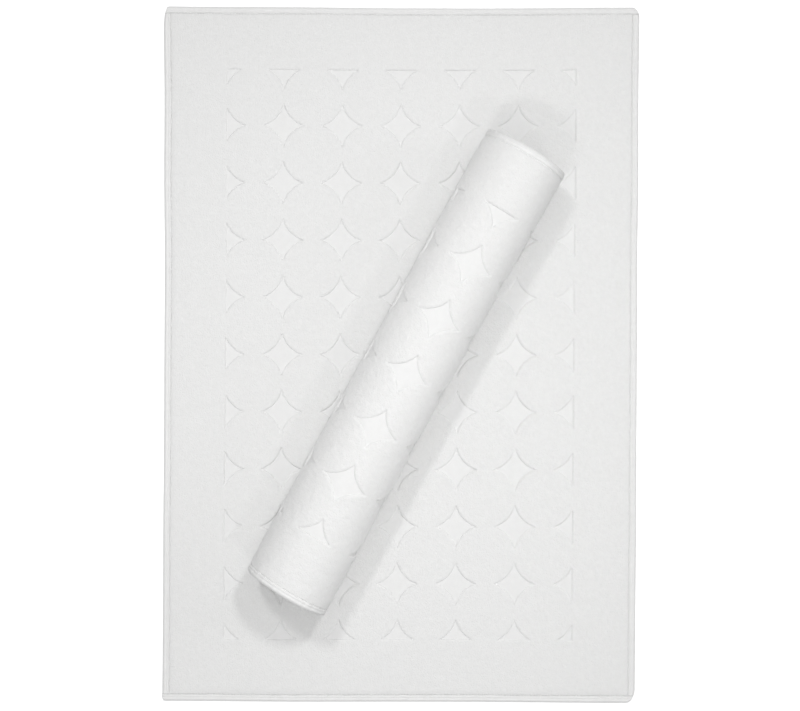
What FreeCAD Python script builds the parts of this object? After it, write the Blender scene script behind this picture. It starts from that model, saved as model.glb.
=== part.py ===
"""A cotton terry bath mat lying flat, and a second mat like it, rolled up and laid across the first.

Frame: the flat mat lies on Z = 0, its length runs along Y, its width along X, and the origin is the
centre of its underside. Units are millimetres.

Both mats are cut from the same profiles. A profile is a face drawn in the XY plane: X runs across
the mat from its centre line, and Y is the height above the middle of the ground weave. lay() runs a
profile straight along the mat's length, and wrap() runs it round the roll. Distances along the
length are counted from one end hem, which is the roll's outer tail.
"""

import FreeCAD, Part
import math
import os
from collections import namedtuple

# Cloth
MAT_WIDTH = 515.0
MAT_LENGTH = 755.0
CORNER_RADIUS = 8.0
GROUND_THICKNESS = 1.0
PILE_HEIGHT = 2.7
CELL_THICKNESS = 0.9

# Hems and the thread that sews them
HEM_WIDTH = 8.5
HEM_THICKNESS = 5.2
HEM_EDGE_RADIUS = 2.2
THREAD_RADIUS = 0.35
THREAD_INSET = 0.9
THREAD_CLEARANCE = 0.02

# Woven pattern: overlapping circles of pile, with flat-woven cells between them
CIRCLES_ACROSS = 6
CIRCLES_ALONG = 10
PITCH_ACROSS = 63.6
PITCH_ALONG = 62.3
CIRCLE_RADIUS = 33.0
PANEL_TRIM = 1.9

# Rolled mat: a spiral of half turns, whose radius drops by half the turn spacing at each
ROLL_RADIUS = 46.5
TURN_SPACING = 7.4
TAIL_ANGLE = -82.4
ROLL_CENTRE = (4.5, -18.6)
ROLL_HEADING = 61.3
REST_GAP = 0.3
OPEN_ROWS = 3

# Derived
MAT_THICKNESS = GROUND_THICKNESS + 2 * PILE_HEIGHT
NEUTRAL_HEIGHT = MAT_THICKNESS / 2
GROUND_TOP = GROUND_THICKNESS / 2
HEM_TOP = HEM_THICKNESS - NEUTRAL_HEIGHT
THREAD_HEIGHT = HEM_TOP + THREAD_RADIUS + THREAD_CLEARANCE
FIELD_HALF_WIDTH = MAT_WIDTH / 2 - HEM_WIDTH
FIELD_START = HEM_WIDTH
FIELD_END = MAT_LENGTH - HEM_WIDTH
THREAD_SIDE = FIELD_HALF_WIDTH + THREAD_INSET
THREAD_START = FIELD_START - THREAD_INSET
THREAD_END = FIELD_END + THREAD_INSET
FIRST_ROW = (MAT_LENGTH - CIRCLES_ALONG * PITCH_ALONG) / 2

X_AXIS = FreeCAD.Vector(1, 0, 0)
Y_AXIS = FreeCAD.Vector(0, 1, 0)
Z_AXIS = FreeCAD.Vector(0, 0, 1)
ORIGIN = FreeCAD.Vector(0, 0, 0)

QUARTERS = [(1, 1), (-1, 1), (-1, -1), (1, -1)]
TOLERANCE = 1e-6

Arc = namedtuple("Arc", "centre radius angle start end")


# ---- profiles: X across the mat, Y above the middle of the ground weave ----

def band(half_width, low, high):
    """Plain layer, centred across the mat, between two heights."""
    corner = FreeCAD.Vector(-half_width, low, 0)
    return Part.makePlane(2 * half_width, high - low, corner)


def hem_profile(side):
    """Folded hem on one side of the mat, with its outer edge rounded; side is -1 or 1."""
    inner = FIELD_HALF_WIDTH
    outer = MAT_WIDTH / 2
    bottom = -NEUTRAL_HEIGHT
    bulge = HEM_EDGE_RADIUS * (1 - math.sqrt(0.5))

    def at(x, y):
        return FreeCAD.Vector(side * x, y, 0)

    start = at(inner, bottom)
    below = at(outer - HEM_EDGE_RADIUS, bottom)
    low = at(outer, bottom + HEM_EDGE_RADIUS)
    high = at(outer, HEM_TOP - HEM_EDGE_RADIUS)
    above = at(outer - HEM_EDGE_RADIUS, HEM_TOP)
    end = at(inner, HEM_TOP)
    lower_arc = Part.Arc(below, at(outer - bulge, bottom + bulge), low)
    upper_arc = Part.Arc(high, at(outer - bulge, HEM_TOP - bulge), above)
    edges = [
        Part.makeLine(start, below),
        lower_arc.toShape(),
        Part.makeLine(low, high),
        upper_arc.toShape(),
        Part.makeLine(above, end),
        Part.makeLine(end, start),
    ]
    return Part.Face(Part.Wire(edges))


def thread_profile(side):
    """Section of the sewing thread that lies along one side hem."""
    centre = FreeCAD.Vector(side * THREAD_SIDE, THREAD_HEIGHT, 0)
    return Part.Face(Part.Wire(Part.makeCircle(THREAD_RADIUS, centre)))


# ---- the woven pattern ----

def cell_arc(side, end, trim_x, trim_y):
    """One curved side of a flat-woven cell, run anticlockwise along its circle of pile.

    side and end are -1 or 1 and say which quarter of the cell it bounds. The trims are how far from
    the cell's centre the panel's edge lies, or 0 inside the panel.
    """
    half_x = PITCH_ACROSS / 2
    half_y = PITCH_ALONG / 2
    tip_x = half_x - math.sqrt(CIRCLE_RADIUS ** 2 - (half_y - trim_y) ** 2)
    tip_y = half_y - math.sqrt(CIRCLE_RADIUS ** 2 - (half_x - trim_x) ** 2)
    nearest = 1 - CIRCLE_RADIUS / math.hypot(half_x, half_y)
    on_x = FreeCAD.Vector(side * tip_x, end * trim_y, 0)
    on_y = FreeCAD.Vector(side * trim_x, end * tip_y, 0)
    waist = FreeCAD.Vector(side * half_x * nearest, end * half_y * nearest, 0)
    first, last = (on_x, on_y) if side == end else (on_y, on_x)
    return Part.Arc(first, waist, last).toShape()


def cell_face(column, row):
    """One flat-woven cell about its own centre, as far as it lies in the panel."""
    quarters = [
        (side, end) for side, end in QUARTERS
        if 0 <= column + (side - 1) / 2 < CIRCLES_ACROSS and 0 <= row + (end - 1) / 2 < CIRCLES_ALONG
    ]
    trim_x = PANEL_TRIM if column in (0, CIRCLES_ACROSS) else 0
    trim_y = PANEL_TRIM if row in (0, CIRCLES_ALONG) else 0
    arcs = [cell_arc(side, end, trim_x, trim_y) for side, end in quarters]
    edges = []
    for arc, following in zip(arcs, arcs[1:] + arcs[:1]):
        edges.append(arc)
        stops = [arc.lastVertex().Point, following.firstVertex().Point]
        if len(quarters) == 1:
            side, end = quarters[0]
            stops.insert(1, FreeCAD.Vector(side * trim_x, end * trim_y, 0))
        if not stops[0].isEqual(stops[-1], TOLERANCE):
            edges += [Part.makeLine(low, high) for low, high in zip(stops, stops[1:])]
    return Part.Face(Part.Wire(edges))


def column_place(column):
    """Distance of a column of cells from the mat's centre line."""
    return (column - CIRCLES_ACROSS / 2) * PITCH_ACROSS


def row_place(row):
    """Distance of a row of cells along the mat."""
    return FIRST_ROW + row * PITCH_ALONG


# ---- the flat mat ----

def lay(profile, start, end):
    """Solid that the profile makes when run straight along the mat."""
    face = profile.copy()
    face.rotate(ORIGIN, X_AXIS, 90)
    face.translate(FreeCAD.Vector(0, start - MAT_LENGTH / 2, NEUTRAL_HEIGHT))
    return face.extrude((end - start) * Y_AXIS)


def flat_cells(height):
    """Every cell of the flat mat, as solids that stand on its ground weave."""
    solids = []
    for row in range(CIRCLES_ALONG + 1):
        for column in range(CIRCLES_ACROSS + 1):
            face = cell_face(column, row)
            place_y = row_place(row) - MAT_LENGTH / 2
            face.translate(FreeCAD.Vector(column_place(column), place_y, NEUTRAL_HEIGHT + GROUND_TOP))
            solids.append(face.extrude(height * Z_AXIS))
    return solids


def flat_outline():
    """Block of the mat's outline, with round corners, that trims the end hems."""
    corner = FreeCAD.Vector(-MAT_WIDTH / 2, -MAT_LENGTH / 2, 0)
    block = Part.makeBox(MAT_WIDTH, MAT_LENGTH, HEM_THICKNESS, corner)
    uprights = [edge for edge in block.Edges if edge.BoundBox.ZLength > HEM_THICKNESS / 2]
    return block.makeFillet(CORNER_RADIUS, uprights)


def flat_end_hem(end):
    """Hem across one end of the flat mat, over the ends of the side hems; end is -1 or 1."""
    profile = hem_profile(1)
    profile.translate(FreeCAD.Vector(-MAT_WIDTH / 2, 0, 0))
    profile.rotate(ORIGIN, X_AXIS, 90)
    profile.rotate(ORIGIN, Z_AXIS, 90 * end)
    place_x = end * MAT_WIDTH / 2
    profile.translate(FreeCAD.Vector(place_x, end * MAT_LENGTH / 2, NEUTRAL_HEIGHT))
    bar = profile.extrude(-end * MAT_WIDTH * X_AXIS)
    return bar.common(flat_outline())


def flat_end_thread(end):
    """Sewing thread along one end hem."""
    place_y = THREAD_END - MAT_LENGTH / 2
    start = FreeCAD.Vector(-FIELD_HALF_WIDTH, end * place_y, NEUTRAL_HEIGHT + THREAD_HEIGHT)
    return Part.makeCylinder(THREAD_RADIUS, 2 * FIELD_HALF_WIDTH, start, X_AXIS)


def flat_mat():
    """The flat mat's pieces, by node name."""
    pile = lay(band(FIELD_HALF_WIDTH, GROUND_TOP, NEUTRAL_HEIGHT), FIELD_START, FIELD_END)
    return {
        "mat_ground_weave": lay(band(FIELD_HALF_WIDTH, -GROUND_TOP, GROUND_TOP), FIELD_START, FIELD_END),
        "mat_back_pile": lay(band(FIELD_HALF_WIDTH, -NEUTRAL_HEIGHT, -GROUND_TOP), FIELD_START, FIELD_END),
        "mat_face_pile": pile.cut(flat_cells(PILE_HEIGHT)),
        "mat_cell_weave": Part.makeCompound(flat_cells(CELL_THICKNESS)),
        "mat_hem_left": lay(hem_profile(-1), FIELD_START, FIELD_END),
        "mat_hem_right": lay(hem_profile(1), FIELD_START, FIELD_END),
        "mat_hem_top": flat_end_hem(1),
        "mat_hem_bottom": flat_end_hem(-1),
        "mat_stitch_left": lay(thread_profile(-1), FIELD_START, FIELD_END),
        "mat_stitch_right": lay(thread_profile(1), FIELD_START, FIELD_END),
        "mat_stitch_top": flat_end_thread(1),
        "mat_stitch_bottom": flat_end_thread(-1),
    }


# ---- the rolled mat, built about its own axis, which lies along X ----

def spiral_arcs():
    """The half turns of the roll, from the tail inwards: centres alternate so that they join smoothly."""
    shift = TURN_SPACING / 2
    lean = math.radians(TAIL_ANGLE + 180)
    centres = [ORIGIN, FreeCAD.Vector(0, shift * math.cos(lean), shift * math.sin(lean))]
    arcs = []
    radius = ROLL_RADIUS - NEUTRAL_HEIGHT
    angle = math.radians(TAIL_ANGLE)
    start = 0.0
    while start < MAT_LENGTH:
        end = min(start + math.pi * radius, MAT_LENGTH)
        arcs.append(Arc(centres[len(arcs) % 2], radius, angle, start, end))
        start = end
        angle += math.pi
        radius -= shift
    return arcs


def spiral_place(distance):
    """The arc that holds a distance along the rolled mat, and the angle there in degrees."""
    for arc in spiral_arcs():
        if distance <= arc.end:
            return arc, math.degrees(arc.angle + (distance - arc.start) / arc.radius)


def wrap(profile, start, end):
    """Solid that the profile makes when run round the roll."""
    pieces = []
    for arc in spiral_arcs():
        low = max(start, arc.start)
        high = min(end, arc.end)
        if low < high:
            face = profile.copy()
            face.translate(arc.radius * Y_AXIS)
            face.rotate(ORIGIN, X_AXIS, math.degrees(arc.angle + (low - arc.start) / arc.radius))
            face.translate(arc.centre)
            pieces.append(face.revolve(arc.centre, X_AXIS, math.degrees((high - low) / arc.radius)))
    if len(pieces) == 1:
        return pieces[0]
    return pieces[0].fuse(pieces[1:]).removeSplitter()


def rolled_cells():
    """Radial prisms through the outermost rows of cells, where the rolled mat's face is open to view."""
    prisms = []
    for row in range(OPEN_ROWS):
        arc, angle = spiral_place(row_place(row))
        depth = PITCH_ALONG / 2 * math.sin(PITCH_ALONG / 2 / arc.radius)
        for column in range(CIRCLES_ACROSS + 1):
            face = cell_face(column, row)
            face.rotate(ORIGIN, Z_AXIS, 180)
            face.translate(FreeCAD.Vector(-column_place(column), 0, arc.radius - depth))
            prism = face.extrude((depth + 2 * NEUTRAL_HEIGHT) * Z_AXIS)
            prism.rotate(ORIGIN, X_AXIS, angle - 90)
            prism.translate(arc.centre)
            prisms.append(prism)
    return prisms


def rolled_pile():
    """Face pile of the rolled mat, with its open rows of cells cut through."""
    profile = band(FIELD_HALF_WIDTH, GROUND_TOP, NEUTRAL_HEIGHT)
    open_end = spiral_arcs()[1].end
    outer_turn = wrap(profile, FIELD_START, open_end).cut(rolled_cells())
    inner_turns = wrap(profile, open_end, FIELD_END)
    return outer_turn.fuse(inner_turns)


def rolled_cell_weave():
    """Flat-woven floors of the open rows of cells."""
    floor = wrap(band(FIELD_HALF_WIDTH, GROUND_TOP, GROUND_TOP + CELL_THICKNESS), FIELD_START,
                 spiral_arcs()[1].end)
    return Part.makeCompound([floor.common(prism) for prism in rolled_cells()])


def rolled_end_thread(distance):
    """Sewing thread along the tail or the core hem, parallel to the roll's axis."""
    arc, angle = spiral_place(distance)
    start = FreeCAD.Vector(-FIELD_HALF_WIDTH, arc.radius + THREAD_HEIGHT, 0)
    thread = Part.makeCylinder(THREAD_RADIUS, 2 * FIELD_HALF_WIDTH, start, X_AXIS)
    thread.rotate(ORIGIN, X_AXIS, angle)
    thread.translate(arc.centre)
    return thread


def rolled_mat():
    """The rolled mat's pieces, by node name, about the roll's axis."""
    end_hem = band(MAT_WIDTH / 2, -NEUTRAL_HEIGHT, HEM_TOP)
    return {
        "roll_ground_weave": wrap(band(FIELD_HALF_WIDTH, -GROUND_TOP, GROUND_TOP), FIELD_START, FIELD_END),
        "roll_back_pile": wrap(band(FIELD_HALF_WIDTH, -NEUTRAL_HEIGHT, -GROUND_TOP), FIELD_START, FIELD_END),
        "roll_face_pile": rolled_pile(),
        "roll_cell_weave": rolled_cell_weave(),
        "roll_hem_near": wrap(hem_profile(-1), FIELD_START, FIELD_END),
        "roll_hem_far": wrap(hem_profile(1), FIELD_START, FIELD_END),
        "roll_hem_tail": wrap(end_hem, 0, FIELD_START),
        "roll_hem_core": wrap(end_hem, FIELD_END, MAT_LENGTH),
        "roll_stitch_near": wrap(thread_profile(-1), FIELD_START, FIELD_END),
        "roll_stitch_far": wrap(thread_profile(1), FIELD_START, FIELD_END),
        "roll_stitch_tail": rolled_end_thread(THREAD_START),
        "roll_stitch_core": rolled_end_thread(THREAD_END),
    }


def set_down(pieces):
    """Turn the rolled mat to its heading and lower it until it all but touches the flat mat."""
    lowest = min(shape.optimalBoundingBox().ZMin for shape in pieces.values())
    place_x, place_y = ROLL_CENTRE
    lift = FreeCAD.Vector(place_x, place_y, MAT_THICKNESS + REST_GAP - lowest)
    for shape in pieces.values():
        shape.rotate(ORIGIN, Z_AXIS, ROLL_HEADING)
        shape.translate(lift)
    return pieces


def main():
    os.makedirs("parts", exist_ok=True)
    pieces = flat_mat()
    pieces.update(set_down(rolled_mat()))
    for name, shape in pieces.items():
        print(f"{name}: {len(shape.Solids)} solids, {shape.Volume:.0f} mm3, valid {shape.isValid()}")
        shape.exportStep(f"parts/{name}.step")


main()
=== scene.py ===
"""A white terry bath mat lying flat, with a second one, rolled up, lying across it.

Both mats are made from one description of the cloth. A place on the cloth is (across, along, height):
across is measured from the mat's centre line, along from the end that is the roll's outer tail, and
height from the underside of the cloth. lay_flat() and roll_up() turn such places into the row frame.
Cloth sizes are millimetres; everything given to Blender is metres.
"""

import math
from functools import lru_cache

import bpy
import numpy as np
from mathutils.geometry import delaunay_2d_cdt
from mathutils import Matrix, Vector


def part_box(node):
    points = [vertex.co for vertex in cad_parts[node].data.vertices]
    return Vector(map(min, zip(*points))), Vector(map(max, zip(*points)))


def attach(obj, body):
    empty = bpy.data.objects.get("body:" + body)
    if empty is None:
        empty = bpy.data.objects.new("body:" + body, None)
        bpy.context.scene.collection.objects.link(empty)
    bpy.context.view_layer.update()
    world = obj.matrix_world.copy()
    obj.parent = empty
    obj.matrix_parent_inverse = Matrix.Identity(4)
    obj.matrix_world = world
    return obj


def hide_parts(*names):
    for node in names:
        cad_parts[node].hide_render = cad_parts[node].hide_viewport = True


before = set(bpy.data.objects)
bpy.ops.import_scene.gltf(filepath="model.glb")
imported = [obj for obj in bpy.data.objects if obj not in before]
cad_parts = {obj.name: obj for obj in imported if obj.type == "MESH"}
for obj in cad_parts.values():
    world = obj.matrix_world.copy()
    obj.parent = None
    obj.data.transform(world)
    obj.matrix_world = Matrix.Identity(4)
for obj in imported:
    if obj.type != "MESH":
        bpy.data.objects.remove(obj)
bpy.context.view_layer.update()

MM = 0.001


def box_mm(node):
    """Lowest and highest corner of a CAD node, in millimetres."""
    low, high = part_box(node)
    return np.array(low) / MM, np.array(high) / MM


# ---- sizes of the cloth, from the frame ----

FIELD_LOW, FIELD_HIGH = box_mm("mat_face_pile")
EDGE_HIGH = box_mm("mat_hem_top")[1]
PANEL_LOW, PANEL_HIGH = box_mm("mat_cell_weave")
HALF_WIDTH = EDGE_HIGH[0]
HALF_LENGTH = EDGE_HIGH[1]
LENGTH = 2 * HALF_LENGTH
HEM_WIDTH = EDGE_HIGH[1] - FIELD_HIGH[1]
HEM_TOP = EDGE_HIGH[2]
GROUND_LOW = box_mm("mat_ground_weave")[0][2]
GROUND_TOP = FIELD_LOW[2]
PILE_TOP = FIELD_HIGH[2]
CELL_TOP = PANEL_HIGH[2]
FIELD_HALF_WIDTH = HALF_WIDTH - HEM_WIDTH
FIELD_START = HEM_WIDTH
FIELD_END = LENGTH - HEM_WIDTH

# ---- the woven pattern, as in the CAD: overlapping circles of pile ----

CIRCLES_ACROSS = 6
CIRCLES_ALONG = 10
PANEL_TRIM = 1.9
CIRCLE_RADIUS = 33.0
PITCH_ACROSS = (PANEL_HIGH[0] - PANEL_LOW[0] + 2 * PANEL_TRIM) / CIRCLES_ACROSS
PITCH_ALONG = (PANEL_HIGH[1] - PANEL_LOW[1] + 2 * PANEL_TRIM) / CIRCLES_ALONG
PANEL_START = HALF_LENGTH - PITCH_ALONG * CIRCLES_ALONG / 2
PANEL_SIDE = PITCH_ACROSS * CIRCLES_ACROSS / 2

# ---- the roll, as in the CAD: half turns whose radius drops by half the turn spacing at each ----

ROLL_RADIUS = 46.5
TURN_SPACING = 7.4
TAIL_ANGLE = math.radians(-82.4)
ROLL_CENTRE = (4.5, -18.6)
ROLL_HEADING = math.radians(61.3)

# ---- how unevenly the roll lies: slopes, shares, and shifts in millimetres ----

ROLL_SKEW = 0.0226
ROLL_SLIP = 2.5
END_FLARE = 3.4
SAGGED_WIDTH = 1.038
ROLL_SHIFT = 2.0
END_SPREAD = 1.8
TAIL_SLANT = 0.03
FAR_END_STRETCH = 2.6
WIDTH_WANDER = 0.01
AXIS_WANDER = 0.6
ROLLED_ENDS_WANDER = 0.8

# ---- how unevenly the flat mat lies: slopes, shares, and shifts in millimetres ----

SIDES_LEAN = 0.0045
ENDS_LEAN = 0.0035
FAR_END_WIDENING = 0.003
FAR_END_BOW = 1.2
WAIST = 1.5
MAT_SHIFT = 0.8
WEAVE_LEAN = 0.0045
WEAVE_SHIFT_ACROSS = 1.4
WEAVE_SHRINK = 0.003
WEAVE_SHIFT_ALONG = 0.8
SIDES_WANDER = 0.5
ENDS_WANDER = 0.4
RIM_LIFT = 0.5

# ---- relief of the pile and the cells ----

PILE_CRUSH = 0.45
INNER_CRUSH = 0.5
SHOULDER_WIDTH = 2.0
SHOULDER_START = 0.35
PRESSED_WIDTH = 5.5
LOOP_HEIGHT = 0.18
CLUMP_HEIGHT = 0.08
LIE_HEIGHT = 0.12
CELL_CRUSH = 0.25
CELL_RIM_WIDTH = 2.5
CELL_RIM_DIP = 0.15
CELL_UNEVENNESS = 0.1
BACK_LOW = 0.25
BACK_UNEVENNESS = 0.2
LAYER_GAP = 0.02

# ---- hems ----

HEM_EDGE = 2.2
HEM_CRUSH = 0.1
HEM_UNDERSIDE = 0.2
RIDGE_HEIGHT = 0.22
RIDGE_PITCH = 3.1
FIRST_RIDGE = 2.7
GATHER_LENGTH = 2.4
GATHER_STRETCH = 0.35
HEM_UNEVENNESS = 0.12
GROOVE_WIDTH = 0.6
SEAM_WANDER = 0.3
SEAM_DRIFT = 0.25

# ---- sewing ----

STITCH_PITCH = 3.2
STITCH_LENGTH = 2.7
STITCH_INSET = 0.9
STITCH_DEPTH = 1.25
STITCH_DIP = 0.75
STITCH_SKEW = 0.1
STITCH_JITTER = 0.06
THREAD_RADIUS = 0.36
THREAD_TAPER = 0.5

# ---- fineness of the meshes ----

TILE_STEPS = 36
LOOP_SPACING = 1.8
LOOP_ROW_SPACING = LOOP_SPACING * math.sqrt(0.75)
LOOP_JITTER = 0.25
RING_SPACING = 1.2
RING_OFFSETS = (-1.1, 0.45, 1.1, 2.0, 3.1)
RING_ROOM = 0.8
STATION_SPACING = 1.0
SECTION_SPACING = 0.42
LAYER_SPACING = (5.0, 3.0)
THREAD_STATIONS = 7
THREAD_SIDES = 6
SHARP_ANGLE = math.radians(62)


# ---- numbers that vary smoothly ----

NOISE_CELLS = 256


@lru_cache(maxsize=None)
def noise_table(seed):
    """Random numbers from -1 to 1 at the corners of a square lattice, which repeats."""
    return np.random.default_rng(seed).uniform(-1, 1, (NOISE_CELLS, NOISE_CELLS))


def noise(x, y, size, seed):
    """Smooth random field from -1 to 1, whose bumps are about size across."""
    table = noise_table(seed)
    x, y = np.broadcast_arrays(np.asarray(x, float) / size, np.asarray(y, float) / size)
    cell_x = np.floor(x).astype(int)
    cell_y = np.floor(y).astype(int)
    part_x = x - cell_x
    part_y = y - cell_y
    part_x = part_x * part_x * (3 - 2 * part_x)
    part_y = part_y * part_y * (3 - 2 * part_y)

    def corner(step_x, step_y):
        return table[(cell_x + step_x) % NOISE_CELLS, (cell_y + step_y) % NOISE_CELLS]

    low = corner(0, 0) * (1 - part_x) + corner(1, 0) * part_x
    high = corner(0, 1) * (1 - part_x) + corner(1, 1) * part_x
    return low * (1 - part_y) + high * part_y


def wander(place, size, seed):
    """Smooth random run from -1 to 1 along a line, whose bumps are about size long."""
    return noise(place, 0.5, size, seed)


# ---- from a place on the cloth to the row frame ----

def lay_flat(across, along, height):
    """The flat mat: laid by hand, so its sides wander a little and its weave is slightly skew."""
    y = along - HALF_LENGTH
    side = across / HALF_WIDTH
    end = y / HALF_LENGTH
    inside = (1 - np.abs(side) ** 3) * (1 - np.abs(end) ** 5)
    turned_x = across * (1 + FAR_END_WIDENING * end) + SIDES_LEAN * y
    turned_y = y - ENDS_LEAN * across
    weave_x = (WEAVE_LEAN * y - WEAVE_SHIFT_ACROSS) * inside
    weave_y = (WEAVE_SHRINK * y + WEAVE_SHIFT_ALONG) * inside
    waist = WAIST * (1 - end ** 2) * np.clip(-side, 0, 1) ** 3
    bow = FAR_END_BOW * (1 - side ** 2) * np.clip(end, 0, 1) ** 4
    sides_wander = SIDES_WANDER * wander(y, size=95, seed=1) * side
    ends_wander = ENDS_WANDER * wander(across, size=110, seed=2) * end
    lying_x = turned_x + weave_x + waist + sides_wander
    lying_y = turned_y - bow - weave_y + MAT_SHIFT + ends_wander
    rim = np.maximum(np.abs(side), np.abs(end)) ** 14
    lift = rim * RIM_LIFT * (1 + noise(across, y, size=70, seed=3))
    return np.stack([lying_x, lying_y, height + lift], axis=-1) * MM


@lru_cache(maxsize=None)
def half_turns():
    """Start, radius, first angle and centre (y, z) of each half turn, from the tail inwards."""
    step = TURN_SPACING / 2
    lean = TAIL_ANGLE + math.pi
    rows = []
    start = 0.0
    radius = ROLL_RADIUS - PILE_TOP / 2
    while start < LENGTH:
        offset = step if len(rows) % 2 else 0.0
        angle = TAIL_ANGLE + math.pi * len(rows)
        rows.append((start, radius, angle, offset * math.cos(lean), offset * math.sin(lean)))
        start += math.pi * radius
        radius -= step
    return np.array(rows).T


@lru_cache(maxsize=None)
def roll_axis_height():
    """Height of the roll's axis that puts the hem of its tail where the frame has it."""
    tail_radius = ROLL_RADIUS - PILE_TOP + HEM_TOP
    return box_mm("roll_hem_tail")[0][2] - tail_radius * math.sin(TAIL_ANGLE)


def roll_up(across, along, height):
    """The rolled mat: a spiral about a level axis, sagged and a little uneven from end to end."""
    starts, radii, angles, centres_y, centres_z = half_turns()
    wound = along + ROLL_SLIP + ROLL_SKEW * across
    turn = np.clip(np.searchsorted(starts, wound, side="right") - 1, 0, len(starts) - 1)
    angle = angles[turn] + (wound - starts[turn]) / radii[turn]
    radius = radii[turn] + height - PILE_TOP / 2
    y = centres_y[turn] + radius * np.cos(angle)
    z = centres_z[turn] + radius * np.sin(angle)
    end = across / HALF_WIDTH
    rightward = np.clip(0.5 - y / (2 * ROLL_RADIUS), 0, 1)
    width = SAGGED_WIDTH + WIDTH_WANDER * wander(across, size=120, seed=11)
    y = y * width + AXIS_WANDER * wander(across, size=150, seed=12)
    y = y - ROLL_SHIFT - END_SPREAD * rightward * end ** 2
    outer = np.clip((starts[2] - along) / starts[2], 0, 1)
    below_top = np.clip(1 - z / ROLL_RADIUS, 0, 1)
    slant = -TAIL_SLANT * (along - starts[1]) * (3 - 2 * outer) * outer
    stretch = FAR_END_STRETCH * np.clip(end, 0, 1)
    x = across + stretch + slant + END_FLARE * below_top * end ** 3
    x = x + ROLLED_ENDS_WANDER * wander(along, size=60, seed=13)
    cos_heading = math.cos(ROLL_HEADING)
    sin_heading = math.sin(ROLL_HEADING)
    place_x = ROLL_CENTRE[0] + x * cos_heading - y * sin_heading
    place_y = ROLL_CENTRE[1] + x * sin_heading + y * cos_heading
    return np.stack([place_x, place_y, z + roll_axis_height()], axis=-1) * MM


# ---- the two mats: their names, and how their pile and hems lie ----

FLAT = {
    "prefix": "mat",
    "piece_prefix": "flat",
    "body": "flat_mat",
    "place": lay_flat,
    "loop_relief": 1.0,
    "press": 0.4,
    "hem_rise": 0.0,
    "seam_depth": 1.5,
    "pucker": 0.14,
    "row_groups": [range(0, 3), range(3, 7), range(7, 10)],
    "hem_nodes": {"left": "left", "right": "right", "start": "bottom", "finish": "top"},
}
ROLLED = {
    "prefix": "roll",
    "piece_prefix": "rolled",
    "body": "rolled_mat",
    "place": roll_up,
    "loop_relief": 1.9,
    "press": 0.15,
    "hem_rise": 0.5,
    "seam_depth": 0.7,
    "pucker": 0.5,
    "row_groups": [range(0, 4)],
    "hem_nodes": {"left": "near", "right": "far", "start": "tail", "finish": "core"},
}


# ---- heights of the cloth's face ----

def cell_corner(edge_x, edge_y):
    """Reach of a tile's cell from the circle's centre, and its two tips on the circle.

    edge_x and edge_y say whether the tile's side there is an edge of the panel.
    """
    reach_x = PITCH_ACROSS / 2 - PANEL_TRIM * edge_x
    reach_y = PITCH_ALONG / 2 - PANEL_TRIM * edge_y
    tip_x = np.sqrt(CIRCLE_RADIUS ** 2 - reach_y ** 2)
    tip_y = np.sqrt(CIRCLE_RADIUS ** 2 - reach_x ** 2)
    return reach_x, reach_y, tip_x, tip_y


def tile_distance(x, y, edge_x, edge_y):
    """Distance from the cell in the tile's corner: positive on the pile, negative in the cell."""
    x = np.abs(x)
    y = np.abs(y)
    reach_x, reach_y, tip_x, tip_y = cell_corner(edge_x, edge_y)
    past_circle = np.hypot(x, y) - CIRCLE_RADIUS
    facing_arc = (y * reach_x > x * tip_y) & (x * reach_y > y * tip_x)
    to_tips = np.minimum(np.hypot(x - reach_x, y - tip_y), np.hypot(x - tip_x, y - reach_y))
    within_circle = np.where(facing_arc, -past_circle, to_tips)
    nearest_x = np.minimum(np.where(y > reach_y, np.maximum(x, tip_x), x), reach_x)
    nearest_y = np.minimum(np.where(x > reach_x, np.maximum(y, tip_y), y), reach_y)
    beyond = np.hypot(x - nearest_x, y - nearest_y)
    room_x = np.where(edge_x, reach_x - x, CIRCLE_RADIUS)
    room_y = np.where(edge_y, reach_y - y, CIRCLE_RADIUS)
    depth = np.minimum(past_circle, np.minimum(room_x, room_y))
    on_pile = np.where((x > reach_x) | (y > reach_y), beyond, within_circle)
    return np.where(depth > 0, -depth, on_pile)


def cell_distance(across, along):
    """Distance from the nearest cell of the whole panel: positive on the pile, negative in a cell."""
    column = np.clip(np.floor((across + PANEL_SIDE) / PITCH_ACROSS), 0, CIRCLES_ACROSS - 1)
    row = np.clip(np.floor((along - PANEL_START) / PITCH_ALONG), 0, CIRCLES_ALONG - 1)
    x = across - (column + 0.5) * PITCH_ACROSS + PANEL_SIDE
    y = along - (row + 0.5) * PITCH_ALONG - PANEL_START
    edge_x = np.where(x < 0, column == 0, column == CIRCLES_ACROSS - 1)
    edge_y = np.where(y < 0, row == 0, row == CIRCLES_ALONG - 1)
    return tile_distance(x, y, edge_x, edge_y)


def pile_height(mat, across, along):
    """Top of the face pile: uneven loops, rounding over by the cells and pressed down by the hems."""
    rise = np.clip(cell_distance(across, along) / SHOULDER_WIDTH, 0, 1)
    shoulder = SHOULDER_START + (1 - SHOULDER_START) * np.sin(math.pi / 2 * rise)
    to_side = FIELD_HALF_WIDTH - np.abs(across)
    to_end = HALF_LENGTH - HEM_WIDTH - np.abs(along - HALF_LENGTH)
    press = 1 - np.clip(np.minimum(to_side, to_end) / PRESSED_WIDTH, 0, 1)
    loops = LOOP_HEIGHT * noise(across, along, size=2.3, seed=21)
    clumps = CLUMP_HEIGHT * noise(across, along, size=6, seed=22)
    lie = LIE_HEIGHT * noise(across, along, size=24, seed=23)
    full = PILE_TOP - PILE_CRUSH - GROUND_TOP
    uneven = full + mat["loop_relief"] * (loops + clumps) + lie
    return GROUND_TOP + uneven * shoulder * (1 - mat["press"] * press ** 2)


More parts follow.
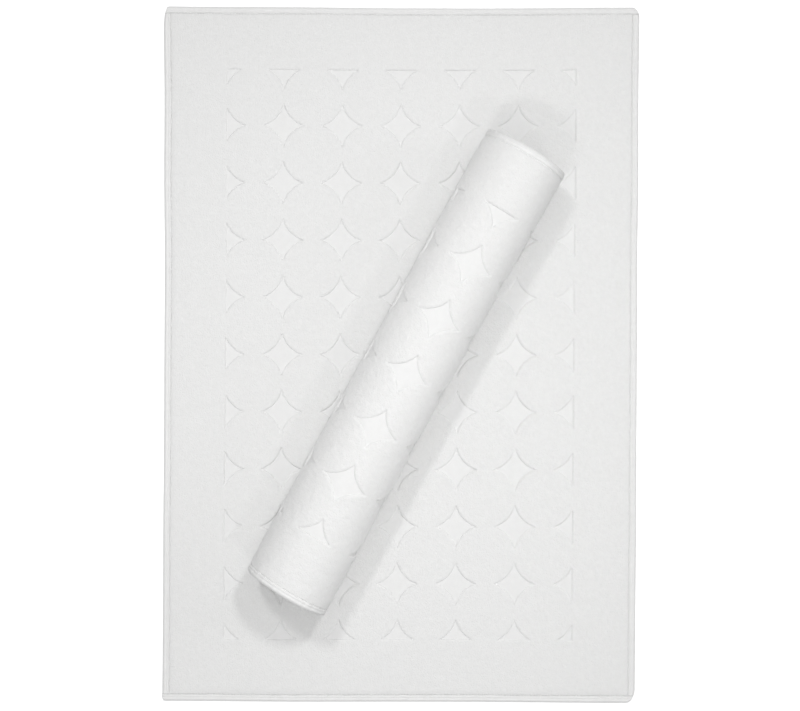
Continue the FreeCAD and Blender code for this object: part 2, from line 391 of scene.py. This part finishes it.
def cell_height(across, along):
    """Floor of a flat-woven cell, drawn down a little where the pile begins."""
    inward = np.clip(-cell_distance(across, along) / CELL_RIM_WIDTH, 0, 1)
    uneven = CELL_UNEVENNESS * noise(across, along, size=7, seed=24)
    return CELL_TOP - CELL_CRUSH + CELL_RIM_DIP * inward + uneven


# ---- flat triangulations, in cloth coordinates ----

def evenly(low, high, spacing):
    """Numbers from low to high, both included, about spacing apart."""
    return np.linspace(low, high, max(1, round(abs(high - low) / spacing)) + 1)


def arc(centre, radius, start, end):
    """Points round an arc, both ends included."""
    angle = evenly(start, end, RING_SPACING / radius)
    return np.stack([centre[0] + radius * np.cos(angle), centre[1] + radius * np.sin(angle)], axis=1)


def line(start, end):
    """Points along a straight line, both ends included."""
    share = evenly(0, math.dist(start, end), RING_SPACING)[:, None] / math.dist(start, end)
    return np.array(start) * (1 - share) + np.array(end) * share


def cell_outline(edge_x, edge_y):
    """Outline of the cell in a tile's corner, as runs of points; it is open at the tile's sides."""
    reach_x, reach_y, tip_x, tip_y = cell_corner(edge_x, edge_y)
    curve = arc((0, 0), CIRCLE_RADIUS, math.atan2(tip_y, reach_x), math.atan2(reach_y, tip_x))
    curve[0] = reach_x, tip_y
    curve[-1] = tip_x, reach_y
    runs = [curve]
    if edge_x:
        runs.append(line((reach_x, tip_y), (reach_x, reach_y)))
    if edge_y:
        runs.append(line((tip_x, reach_y), (reach_x, reach_y)))
    return runs


def cell_ring(edge_x, edge_y, offset):
    """Loose points at a set distance from the cell in a tile's corner."""
    reach_x, reach_y, tip_x, tip_y = cell_corner(edge_x, edge_y)
    runs = [arc((0, 0), CIRCLE_RADIUS - offset, 0, math.pi / 2)]
    runs += [arc(tip, abs(offset), 0, 2 * math.pi) for tip in ((reach_x, tip_y), (tip_x, reach_y))]
    if edge_x:
        runs.append(line((reach_x + offset, 0), (reach_x + offset, reach_y + offset)))
    if edge_y:
        runs.append(line((0, reach_y + offset), (reach_x + offset, reach_y + offset)))
    points = np.concatenate(runs)
    tolerance = 1e-6
    at_offset = np.abs(tile_distance(points[:, 0], points[:, 1], edge_x, edge_y) - offset) < tolerance
    margin = 0.4
    limit = np.array([PITCH_ACROSS / 2 - margin, PITCH_ALONG / 2 - margin])
    in_tile = ((points > 0) & (points < limit)).all(axis=1)
    return points[at_offset & in_tile]


def triangulate(points, edges):
    """Triangles over points, keeping the given edges, with the points' own numbers."""
    corners = [tuple(p) for p in points]
    all_triangles = 0
    tolerance = 0.01
    _, _, faces, originals, *_ = delaunay_2d_cdt(corners, edges, [], all_triangles, tolerance)
    first = np.array([group[0] for group in originals])
    return first[np.array(faces)]


@lru_cache(maxsize=None)
def tile(left, right, near, far):
    """One tile of the pattern about its circle's centre.

    left, right, near and far say whether that side is an edge of the panel. Gives the points, and
    triangles of the pile and of the cells, each fine and coarse.
    """
    half = np.array([PITCH_ACROSS / 2, PITCH_ALONG / 2])
    steps = np.linspace(-1, 1, TILE_STEPS + 1)
    ones = np.ones_like(steps)
    sides = [(steps, -ones), (steps, ones), (-ones[1:-1], steps[1:-1]), (ones[1:-1], steps[1:-1])]
    points = [tuple(p) for xs, ys in sides for p in np.stack([xs, ys], axis=1) * half]
    edges = []
    loose = []
    for sign_x, edge_x in ((-1, left), (1, right)):
        for sign_y, edge_y in ((-1, near), (1, far)):
            signs = np.array([sign_x, sign_y])
            for run in cell_outline(edge_x, edge_y):
                edges += [(len(points) + i, len(points) + i + 1) for i in range(len(run) - 1)]
                points += [tuple(p) for p in run * signs]
            loose += [cell_ring(edge_x, edge_y, offset) * signs for offset in RING_OFFSETS]

    def distance(places):
        x, y = places[:, 0], places[:, 1]
        return tile_distance(x, y, np.where(x < 0, left, right), np.where(y < 0, near, far))

    fill = []
    inset = 1.0
    end_x, end_y = half - 0.9
    for number, y in enumerate(np.arange(-half[1] + inset, end_y, LOOP_ROW_SPACING)):
        start = inset + (LOOP_SPACING / 2 if number % 2 else 0) - half[0]
        fill += [(x, y) for x in np.arange(start, end_x, LOOP_SPACING)]
    rng = np.random.default_rng(7)
    fill = np.array(fill) + rng.uniform(-LOOP_JITTER, LOOP_JITTER, (len(fill), 2))
    away = distance(fill)
    past_rings = (away > max(RING_OFFSETS) + RING_ROOM) | (away < min(RING_OFFSETS) - RING_ROOM)
    loose.append(fill[past_rings])
    outline_only = np.array(points)
    everything = np.concatenate([outline_only, *loose])
    found = []
    for places in (everything, outline_only):
        faces = triangulate(places, edges)
        on_pile = distance(places[faces].mean(axis=1)) > 0
        found += [faces[on_pile], faces[~on_pile]]
    return everything, *found


def panel(rows):
    """Some rows of tiles joined up: points, then pile and cell triangles, fine and coarse."""
    points = []
    faces = [[], [], [], []]
    count = 0
    for row in rows:
        for column in range(CIRCLES_ACROSS):
            places, *found = tile(column == 0, column == CIRCLES_ACROSS - 1,
                                  row == 0, row == CIRCLES_ALONG - 1)
            centre = [(column + 0.5) * PITCH_ACROSS - PANEL_SIDE, (row + 0.5) * PITCH_ALONG + PANEL_START]
            points.append(places + centre)
            for joined, some in zip(faces, found):
                joined.append(some + count)
            count += len(places)
    points = np.concatenate(points)
    off_the_half = 0.00123
    rounded = np.round(points + off_the_half, 2)
    _, first, same = np.unique(rounded, axis=0, return_index=True, return_inverse=True)
    same = same.reshape(-1)
    return points[first], *(same[np.concatenate(joined)] for joined in faces)


def grid(across, along, hole=None):
    """Points and triangles of a grid, leaving out what lies in the hole, (low, high) of each direction."""
    grid_x, grid_y = np.meshgrid(across, along, indexing="ij")
    points = np.stack([grid_x.ravel(), grid_y.ravel()], axis=1)
    index = np.arange(len(points)).reshape(grid_x.shape)
    corners = [index[:-1, :-1], index[1:, :-1], index[1:, 1:], index[:-1, 1:]]
    quads = np.stack(corners, axis=-1).reshape(-1, 4)
    if hole is not None:
        low, high = np.array(hole).T
        middle = points[quads].mean(axis=1)
        quads = quads[~((middle > low) & (middle < high)).all(axis=1)]
    return points, np.concatenate([quads[:, [0, 1, 2]], quads[:, [0, 2, 3]]])


# ---- closed solids, in cloth coordinates ----

TOP_SHARE = 0.94
STRIP_START = 0.95
STRIP_SHARE = 0.05
TUBE_SHARE = 0.9
CAP_CORNERS_X = (0.0, 0.4, 0.8)
CAP_CORNERS_Y = (0.92, 0.98, 0.92)


def border_edges(faces):
    """Edges that have a face on one side only, in the direction that the face runs them."""
    directed = np.concatenate([faces[:, [0, 1]], faces[:, [1, 2]], faces[:, [2, 0]]])
    size = int(directed.max()) + 1
    forward = directed[:, 0] * size + directed[:, 1]
    backward = directed[:, 1] * size + directed[:, 0]
    return directed[~np.isin(forward, backward)]


def slab(points, top_faces, bottom_faces, top, bottom):
    """Closed solid between two triangulations of one outline, and its flat layout.

    Most of the layout's square is the top; a strip along one side is the walls and the bottom.
    """
    count = len(points)
    rim = border_edges(top_faces)
    walls = np.concatenate([
        np.stack([rim[:, 1], rim[:, 0], rim[:, 0] + count], axis=1),
        np.stack([rim[:, 1], rim[:, 0] + count, rim[:, 1] + count], axis=1),
    ])
    heights = np.concatenate([np.broadcast_to(top, count), np.broadcast_to(bottom, count)])
    places = np.column_stack([np.concatenate([points, points]), heights])
    faces = np.concatenate([top_faces, walls, bottom_faces[:, ::-1] + count])
    used, faces = np.unique(faces, return_inverse=True)
    places = places[used]
    faces = faces.reshape(-1, 3)
    low = places[:, :2].min(axis=0)
    layout = (places[faces][:, :, :2] - low) / (places[:, :2].max(axis=0) - low).max()
    layout[:len(top_faces)] *= TOP_SHARE
    layout[len(top_faces):] *= (TOP_SHARE, STRIP_SHARE)
    layout[len(top_faces):] += (0, STRIP_START)
    return places, faces, layout


def tubes(rings):
    """Closed solids through rings of cloth places, and their flat layout.

    rings has one row for each solid, then one for each station along it, then the points round it.
    """
    solids, stations, around, _ = rings.shape
    per_solid = stations * around + 2
    station, place = np.meshgrid(np.arange(stations - 1), np.arange(around), indexing="ij")
    corners = [(station, place), (station, place + 1), (station + 1, place + 1), (station + 1, place)]
    numbers = np.stack([s * around + p % around for s, p in corners], axis=-1).reshape(-1, 4)
    spots = np.stack([np.stack([s / (stations - 1), TUBE_SHARE * p / around], axis=-1) for s, p in corners],
                     axis=2).reshape(-1, 4, 2)
    ring = np.arange(around)
    following = (ring + 1) % around
    last = (stations - 1) * around
    caps = np.concatenate([
        np.stack([following, ring, np.full(around, per_solid - 2)], axis=1),
        np.stack([last + ring, last + following, np.full(around, per_solid - 1)], axis=1),
    ])
    cap_spots = np.zeros((len(caps), 3, 2))
    cap_spots[:, :, 0] = CAP_CORNERS_X
    cap_spots[:, :, 1] = CAP_CORNERS_Y
    faces = np.concatenate([numbers[:, [0, 1, 2]], numbers[:, [0, 2, 3]], caps])
    layout = np.concatenate([spots[:, [0, 1, 2]], spots[:, [0, 2, 3]], cap_spots])
    points = np.concatenate([
        rings.reshape(solids, -1, 3),
        rings[:, [0, -1]].mean(axis=2),
    ], axis=1).reshape(-1, 3)
    order = np.arange(solids)[:, None, None]
    all_faces = (faces + order * per_solid).reshape(-1, 3)
    all_layout = np.broadcast_to(layout, (solids, *layout.shape)).copy()
    all_layout[..., 0] = (all_layout[..., 0] + order) / solids
    return points, all_faces, all_layout.reshape(-1, 3, 2)


def build(mat, part, solid, slot, node):
    """A piece of one mat from a solid in cloth places, riding on that mat's body."""
    name = f"{mat['piece_prefix']}_{part}"
    places, faces, layout = solid
    vertices = mat["place"](places[:, 0], places[:, 1], places[:, 2])
    one, two, three = (vertices[faces[:, i]] - vertices.mean(axis=0) for i in range(3))
    if np.einsum("ij,ij->", one, np.cross(two, three)) < 0:
        faces = faces[:, ::-1]
        layout = layout[:, ::-1]
    mesh = bpy.data.meshes.new(name)
    mesh.vertices.add(len(vertices))
    mesh.vertices.foreach_set("co", vertices.astype(np.float32).ravel())
    mesh.loops.add(faces.size)
    mesh.loops.foreach_set("vertex_index", faces.astype(np.int32).ravel())
    mesh.polygons.add(len(faces))
    mesh.polygons.foreach_set("loop_start", np.arange(0, faces.size, 3, dtype=np.int32))
    mesh.polygons.foreach_set("use_smooth", np.ones(len(faces), bool))
    mesh.update(calc_edges=True)
    mesh.uv_layers.new(name="OFBake").data.foreach_set("uv", layout.astype(np.float32).ravel())
    weave = mesh.attributes.new("cloth", "FLOAT_VECTOR", "POINT")
    weave.data.foreach_set("vector", (places * MM).astype(np.float32).ravel())
    mesh.set_sharp_from_angle(angle=SHARP_ANGLE)
    mesh.materials.append(MATERIALS[slot])
    piece = bpy.data.objects.new(name, mesh)
    bpy.context.scene.collection.objects.link(piece)
    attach(piece, mat["body"])
    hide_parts(f"{mat['prefix']}_{node}")
    return piece


# ---- materials ----

def add(tree, kind, inputs=None, **settings):
    """A node with some of its properties and of its inputs set."""
    node = tree.nodes.new(kind)
    for key, value in settings.items():
        setattr(node, key, value)
    for key, value in (inputs or {}).items():
        node.inputs[key].default_value = value
    return node


def new_cloth(name, dark, light, patches, roughness, sheen):
    """Cloth whose colour drifts between two tones: its material, node tree and place on the cloth.

    patches is the scale of the drift; more makes it finer.
    """
    material = bpy.data.materials.new("cotton_" + name)
    material.use_nodes = True
    tree = material.node_tree
    shader = tree.nodes["Principled BSDF"]
    shader.inputs["Roughness"].default_value = roughness
    shader.inputs["Specular IOR Level"].default_value = 0.12
    shader.inputs["Sheen Weight"].default_value = sheen
    shader.inputs["Sheen Roughness"].default_value = 0.6
    place = add(tree, "ShaderNodeAttribute", attribute_name="cloth").outputs["Vector"]
    drift = add(tree, "ShaderNodeTexNoise", {"Scale": patches, "Detail": 6.0, "Roughness": 0.65})
    ramp = add(tree, "ShaderNodeValToRGB")
    blue_share = 0.995
    for element, position, tone in zip(ramp.color_ramp.elements, (0.3, 0.7), (dark, light)):
        element.position = position
        element.color = (tone, tone, tone * blue_share, 1)
    tree.links.new(place, drift.inputs["Vector"])
    tree.links.new(drift.outputs["Fac"], ramp.inputs["Fac"])
    tree.links.new(ramp.outputs["Color"], shader.inputs["Base Color"])
    return material, tree, place


def raise_by(tree, height, distance):
    """Fine relief on the shader from a height."""
    bump = add(tree, "ShaderNodeBump", {"Strength": 0.6, "Distance": distance})
    tree.links.new(height, bump.inputs["Height"])
    tree.links.new(bump.outputs["Normal"], tree.nodes["Principled BSDF"].inputs["Normal"])


def terry_material():
    """Looped pile: soft and matt, each loop a small bump."""
    material, tree, place = new_cloth("terry_pile", dark=0.78, light=0.82, patches=260.0,
                                      roughness=0.95, sheen=0.45)
    loops = add(tree, "ShaderNodeTexVoronoi", {"Scale": 620.0, "Randomness": 0.9})
    fuzz = add(tree, "ShaderNodeTexNoise", {"Scale": 900.0, "Detail": 4.0})
    relief = add(tree, "ShaderNodeMath", operation="SUBTRACT")
    tree.links.new(place, loops.inputs["Vector"])
    tree.links.new(place, fuzz.inputs["Vector"])
    tree.links.new(fuzz.outputs["Fac"], relief.inputs[0])
    tree.links.new(loops.outputs["Distance"], relief.inputs[1])
    raise_by(tree, relief.outputs["Value"], distance=0.6 * MM)
    return material


def woven_material(name, dark, light, threads):
    """Plain weave with a set number of threads to the metre each way."""
    material, tree, place = new_cloth(name, dark, light, patches=150.0, roughness=0.85, sheen=0.08)
    weave = add(tree, "ShaderNodeMath", operation="MAXIMUM")
    bands_at_scale_one = 10 / math.pi
    scale = threads / bands_at_scale_one
    for direction, socket in (("X", 0), ("Y", 1)):
        wave = add(tree, "ShaderNodeTexWave", {"Scale": scale, "Distortion": 0.6},
                   bands_direction=direction)
        tree.links.new(place, wave.inputs["Vector"])
        tree.links.new(wave.outputs["Fac"], weave.inputs[socket])
    raise_by(tree, weave.outputs["Value"], distance=0.2 * MM)
    return material


def thread_material():
    """Twisted sewing thread."""
    material, tree, place = new_cloth("thread", dark=0.76, light=0.85, patches=900.0,
                                      roughness=0.6, sheen=0.05)
    twist = add(tree, "ShaderNodeTexWave", {"Scale": 500.0}, bands_direction="DIAGONAL")
    tree.links.new(place, twist.inputs["Vector"])
    raise_by(tree, twist.outputs["Fac"], distance=0.2 * MM)
    return material


# ---- pieces of cloth ----

def field_lines(rows):
    """Grid lines across and along that meet the tiles' points, from the field's start past some rows."""
    step_across = PITCH_ACROSS / TILE_STEPS
    step_along = PITCH_ALONG / TILE_STEPS
    side = evenly(PANEL_SIDE, FIELD_HALF_WIDTH, step_across)
    middle = np.linspace(-PANEL_SIDE, PANEL_SIDE, TILE_STEPS * CIRCLES_ACROSS + 1)
    across = np.concatenate([-side[:0:-1], middle, side[1:]])
    reach = PANEL_START + rows * PITCH_ALONG
    near = evenly(FIELD_START, PANEL_START, step_along)
    tiles = np.linspace(PANEL_START, reach, TILE_STEPS * rows + 1)
    along = np.concatenate([near[:-1], tiles])
    if rows == CIRCLES_ALONG:
        along = np.concatenate([along, evenly(reach, FIELD_END, step_along)[1:]])
    return across, along


def make_pile(mat):
    """Face pile of a mat: its border, and its circles by groups of rows."""
    rows = mat["row_groups"][-1].stop
    reach = PANEL_START + rows * PITCH_ALONG
    points, faces = grid(*field_lines(rows), hole=((-PANEL_SIDE, PANEL_SIDE), (PANEL_START, reach)))
    top = pile_height(mat, points[:, 0], points[:, 1])
    pieces = [build(mat, "pile_border", slab(points, faces, faces, top, GROUND_TOP),
                    "terry_pile", "face_pile")]
    for number, group in enumerate(mat["row_groups"], start=1):
        points, fine, _, coarse, _ = panel(group)
        top = pile_height(mat, points[:, 0], points[:, 1])
        pieces.append(build(mat, f"pile_circles_{number}",
                            slab(points, fine, coarse, top, GROUND_TOP), "terry_pile", "face_pile"))
    return pieces


def plain_grid(start):
    """Points and triangles of a plain layer, from some way along the cloth to the field's end."""
    spacing_across, spacing_along = LAYER_SPACING
    return grid(evenly(-FIELD_HALF_WIDTH, FIELD_HALF_WIDTH, spacing_across),
                evenly(start, FIELD_END, spacing_along))


def make_inner_turns(mat):
    """Plain pile of the roll's inner turns, which the outer turn hides."""
    points, faces = plain_grid(PANEL_START + mat["row_groups"][-1].stop * PITCH_ALONG)
    solid = slab(points, faces, faces, PILE_TOP - INNER_CRUSH, GROUND_TOP)
    return build(mat, "pile_inner_turns", solid, "terry_pile", "face_pile")


def make_cells(mat):
    """Flat-woven floors of the cells."""
    rows = range(mat["row_groups"][-1].stop)
    points, _, fine, _, coarse = panel(rows)
    top = cell_height(points[:, 0], points[:, 1])
    return build(mat, "cell_weave", slab(points, fine, coarse, top, GROUND_TOP), "flat_weave", "cell_weave")


def make_layers(mat):
    """Ground weave, and the back pile with its own unevenness underneath."""
    points, faces = plain_grid(FIELD_START)
    weave = slab(points, faces, faces, GROUND_TOP - LAYER_GAP, GROUND_LOW)
    ground = build(mat, "ground_weave", weave, "ground_weave", "ground_weave")
    under = BACK_LOW + BACK_UNEVENNESS * noise(points[:, 0], points[:, 1], size=9, seed=31)
    pile = slab(points, faces, faces, GROUND_LOW - LAYER_GAP, under)
    back = build(mat, "back_pile", pile, "terry_pile", "back_pile")
    return ground, back


# ---- pieces along the hems ----

# How far each rounded corner of the mat reaches, across and along.
CORNER_SIZES = {
    ("left", "start"): (3.0, 3.0),
    ("right", "start"): (10.0, 15.0),
    ("right", "finish"): (8.0, 11.0),
    ("left", "finish"): (5.5, 26.0),
}
SIDES = {"left": -1, "right": 1}
ENDS = {"start": -1, "finish": 1}
OUTWARD = {**SIDES, **ENDS}
HEM_SEEDS = {"left": 41, "right": 42, "start": 43, "finish": 44}


def rounding(gap, size, depth):
    """How far an elliptical corner draws the edge in, at a gap from the corner along the edge."""
    share = np.clip(1 - gap / size, 0, 1)
    return depth * (1 - np.sqrt(1 - share ** 2))


def seam_sway(run, hem):
    """How far the sewn line strays towards the mat's edge, along a hem."""
    seed = HEM_SEEDS[hem]
    return SEAM_WANDER * wander(run, size=7, seed=seed) + SEAM_DRIFT * wander(run, size=30, seed=seed)


def hem_section():
    """Closed outline of a hem as (distance from the mat's edge, height), with two soft ridges."""
    middle = HEM_TOP / 2
    edge_points = 8
    out = np.concatenate([HEM_EDGE * (1 - np.cos(np.linspace(0, math.pi / 2, edge_points))),
                          evenly(HEM_EDGE, HEM_WIDTH, SECTION_SPACING)[1:]])
    ridges = RIDGE_HEIGHT * np.cos(2 * math.pi * (out - FIRST_RIDGE) / RIDGE_PITCH)
    crown = HEM_TOP - HEM_CRUSH + ridges - middle
    fullness = np.sqrt(1 - np.clip(1 - out / HEM_EDGE, 0, 1) ** 2)
    top = np.stack([out, middle + crown * fullness], axis=1)
    under = np.stack([out, middle - (middle - HEM_UNDERSIDE) * fullness], axis=1)[::-2]
    return np.concatenate([top, under[:-1]])


def hem_edges(hem):
    """Outer and inner edge of a hem at each station, and how full it is there."""
    if hem in SIDES:
        along = evenly(FIELD_START, FIELD_END, STATION_SPACING)
        drawn = np.zeros_like(along)
        for end, gap in (("start", along), ("finish", LENGTH - along)):
            size_x, size_y = CORNER_SIZES[hem, end]
            drawn = drawn + rounding(gap, size_y, size_x)
        side = SIDES[hem]
        outer = np.stack([side * (HALF_WIDTH - drawn), along], axis=1)
        inner = np.stack([np.full_like(along, side * FIELD_HALF_WIDTH), along], axis=1)
        return outer, inner, np.ones_like(along)
    gaps = []
    for side in SIDES:
        size_x, size_y = CORNER_SIZES[side, hem]
        gaps.append(rounding(np.array(HEM_WIDTH), size_y, size_x))
    low = gaps[0] - HALF_WIDTH
    high = HALF_WIDTH - gaps[1]
    turn = 12.0
    turn_stations = 20
    bunched = turn * (1 - np.cos(np.linspace(0, math.pi / 2, turn_stations)))
    across = np.concatenate([low + bunched, evenly(low + turn, high - turn, STATION_SPACING)[1:-1],
                             high - bunched[::-1]])
    drawn = np.zeros_like(across)
    for side, gap in (("left", across + HALF_WIDTH), ("right", HALF_WIDTH - across)):
        size_x, size_y = CORNER_SIZES[side, hem]
        drawn = drawn + rounding(gap, size_x, size_y)
    end = ENDS[hem]
    outer = np.stack([across, HALF_LENGTH + end * (HALF_LENGTH - drawn)], axis=1)
    inner = np.stack([across, np.full_like(across, HALF_LENGTH + end * (HALF_LENGTH - HEM_WIDTH))], axis=1)
    from_end = np.minimum(across - low, high - across)
    end_round = 1.8
    least_full = 0.25
    full = np.clip(np.sqrt(1 - np.clip(1 - from_end / end_round, 0, 1) ** 2), least_full, 1)
    full_width = 3.5
    least_share = 0.1
    width_share = np.clip((HEM_WIDTH - drawn) / full_width, least_share, 1)
    return outer, inner, full * np.sqrt(width_share)


def make_hem(mat, hem):
    """A hem ruled between the mat's edge and the field, puckered a little by its stitches."""
    outer, inner, full = hem_edges(hem)
    section = hem_section()
    share = section[:, 0] / HEM_WIDTH
    flat = outer[:, None] * (1 - share)[:, None] + inner[:, None] * share[:, None]
    run = (inner[:, 1] - HALF_LENGTH if hem in SIDES else inner[:, 0])[:, None]
    seed = HEM_SEEDS[hem]
    gathers = mat["pucker"] * noise(run, GATHER_STRETCH * section[:, 0], GATHER_LENGTH, seed)
    pucker = gathers + HEM_UNEVENNESS * noise(run, section[:, 0], size=14, seed=seed)
    seam = HEM_WIDTH - STITCH_INSET - seam_sway(run, hem)
    groove = mat["seam_depth"] * np.exp(-((section[:, 0] - seam) / GROOVE_WIDTH) ** 2)
    middle = HEM_TOP / 2
    height = middle + (section[:, 1] - middle) * full[:, None]
    height = height + (pucker - groove + mat["hem_rise"] * full[:, None]) * (section[:, 1] > middle)
    rings = np.concatenate([flat, height[:, :, None]], axis=2)
    node = "hem_" + mat["hem_nodes"][hem]
    return build(mat, node, tubes(rings[None]), "hem_cloth", node)


def make_stitches(mat, hem):
    """The row of lockstitches along a hem: short threads that dip into the cloth at both ends."""
    line_x = FIELD_HALF_WIDTH + STITCH_INSET
    line_y = HALF_LENGTH - HEM_WIDTH + STITCH_INSET
    reach = line_y if hem in SIDES else line_x
    middles = np.arange(-reach + STITCH_PITCH / 2, reach, STITCH_PITCH)
    rng = np.random.default_rng(HEM_SEEDS[hem])
    inward = -seam_sway(middles, hem) + rng.uniform(-STITCH_JITTER, STITCH_JITTER, len(middles))
    share = np.linspace(-1, 1, THREAD_STATIONS)
    angle = np.linspace(0, 2 * math.pi, THREAD_SIDES + 1)[:-1]
    thread = THREAD_RADIUS * (1 - THREAD_TAPER * share ** 4)
    run = middles[:, None] + share * STITCH_LENGTH / 2
    lean = -OUTWARD[hem] * inward[:, None] + STITCH_SKEW * share
    centre_height = HEM_TOP - STITCH_DEPTH - STITCH_DIP * share ** 2
    shape = (len(middles), len(share), len(angle))
    along_row = np.broadcast_to(run[:, :, None], shape)
    sideways = lean[:, :, None] + thread[:, None] * np.cos(angle)
    height = np.broadcast_to(centre_height[:, None] + thread[:, None] * np.sin(angle), shape)
    if hem in SIDES:
        across = OUTWARD[hem] * line_x + sideways
        along = along_row + HALF_LENGTH
    else:
        across = along_row
        along = HALF_LENGTH + OUTWARD[hem] * line_y + sideways
    node = "stitch_" + mat["hem_nodes"][hem]
    rings = np.stack([across, along, height], axis=-1)
    return build(mat, node, tubes(rings), "thread", node)


def make_mat(mat):
    """Every piece of one mat. The ground weave comes first: it is the cloth that carries the rest."""
    ground, back = make_layers(mat)
    others = [back, *make_pile(mat), make_cells(mat)]
    if mat["row_groups"][-1].stop < CIRCLES_ALONG:
        others.append(make_inner_turns(mat))
    for hem in mat["hem_nodes"]:
        others.append(make_hem(mat, hem))
        others.append(make_stitches(mat, hem))
    return ground, others


# ---- studio ----

LAMP_DISTANCE = 1.9
LAMP_SPREAD = 75
AIM_PAST_CENTRE = 0.3

# Each lamp's azimuth and elevation in degrees, size in metres and power in watts.
LAMPS = [
    (31, 60, 0.2, 1.2),
    (150, 58, 0.2, 0.38),
    (208, 60, 0.2, 0.65),
    (337, 61, 0.2, 1.15),
    (80, 28, 0.8, 0.5),
]


def area_light(name, place, target, size, power, spread):
    """A round softbox aimed at a point, whose beam is spread degrees wide."""
    light = bpy.data.lights.new(name, "AREA")
    light.shape = "DISK"
    light.size = size
    light.energy = power
    light.spread = math.radians(spread)
    lamp = bpy.data.objects.new(name, light)
    lamp.location = place
    aim = np.array(target) - np.array(place)
    lamp.rotation_euler = (math.atan2(math.hypot(aim[0], aim[1]), -aim[2]), 0, math.atan2(-aim[0], aim[1]))
    bpy.context.scene.collection.objects.link(lamp)


def make_floor():
    """A broad white floor that is hidden from the light bouncing off the mats, so it lights nothing."""
    mesh = bpy.data.meshes.new("floor")
    reach = 60.0
    mesh.from_pydata([(-reach, -reach, 0), (reach, -reach, 0), (reach, reach, 0), (-reach, reach, 0)],
                     [], [(0, 1, 2, 3)])
    material = bpy.data.materials.new("floor_white")
    material.use_nodes = True
    shader = material.node_tree.nodes["Principled BSDF"]
    tone = 0.93
    shader.inputs["Base Color"].default_value = (tone, tone, tone, 1)
    shader.inputs["Roughness"].default_value = 0.9
    shader.inputs["Specular IOR Level"].default_value = 0.0
    shader.inputs["Emission Color"].default_value = (1, 1, 1, 1)
    shader.inputs["Emission Strength"].default_value = 0.5
    mesh.materials.append(material)
    floor = bpy.data.objects.new("floor", mesh)
    floor.visible_diffuse = False
    floor.visible_glossy = False
    bpy.context.scene.collection.objects.link(floor)


def make_surround():
    """A white surround, brightest at the horizon, with nothing below the floor's level."""
    world = bpy.data.worlds.new("surround")
    world.use_nodes = True
    tree = world.node_tree
    place = add(tree, "ShaderNodeTexCoord")
    parts = add(tree, "ShaderNodeSeparateXYZ")
    level = add(tree, "ShaderNodeMapRange", {"From Min": -1.0, "From Max": 1.0})
    ramp = add(tree, "ShaderNodeValToRGB")
    stops = ramp.color_ramp.elements
    below, horizon, zenith = 0.49, 0.499, 1.0
    stops.new(horizon)
    for stop, position, tone in zip(stops, (below, horizon, zenith), (0.0, 0.7, 0.325)):
        stop.position = position
        stop.color = (tone, tone, tone, 1)
    tree.links.new(place.outputs["Generated"], parts.inputs["Vector"])
    tree.links.new(parts.outputs["Z"], level.inputs["Value"])
    tree.links.new(level.outputs["Result"], ramp.inputs["Fac"])
    tree.links.new(ramp.outputs["Color"], tree.nodes["Background"].inputs["Color"])
    tree.nodes["Background"].inputs["Strength"].default_value = 1.0
    bpy.context.scene.world = world


def make_studio():
    """Lamps round the mat, aimed past its centre, a broad light overhead, and the camera above."""
    for number, (azimuth, elevation, size, power) in enumerate(LAMPS, start=1):
        turn = math.radians(azimuth)
        rise = math.radians(elevation)
        out = np.array([math.sin(turn), math.cos(turn)]) * LAMP_DISTANCE * math.cos(rise)
        place = (*out, LAMP_DISTANCE * math.sin(rise))
        target = (*(-AIM_PAST_CENTRE * out), 0)
        area_light(f"lamp_{number}", place, target, size, power, LAMP_SPREAD)
    area_light("overhead", place=(0, 0, 2.2), target=(0, 0, 0), size=1.6, power=8.0, spread=180)
    camera_data = bpy.data.cameras.new("camera")
    camera_data.lens = 53.52
    camera_data.sensor_width = 36.0
    camera = bpy.data.objects.new("camera", camera_data)
    camera.location = (0.0, -0.0005, 1.296)
    scene = bpy.context.scene
    scene.collection.objects.link(camera)
    scene.camera = camera
    scene.view_settings.view_transform = "Standard"


# ---- everything ----

MATERIALS = {
    "terry_pile": terry_material(),
    "ground_weave": woven_material("ground_weave", dark=0.74, light=0.80, threads=900),
    "flat_weave": woven_material("flat_weave", dark=0.812, light=0.838, threads=1100),
    "hem_cloth": woven_material("hem_cloth", dark=0.80, light=0.84, threads=1000),
    "thread": thread_material(),
}
flat_cloth, flat_others = make_mat(FLAT)
rolled_cloth, rolled_others = make_mat(ROLLED)
make_floor()
make_surround()
make_studio()
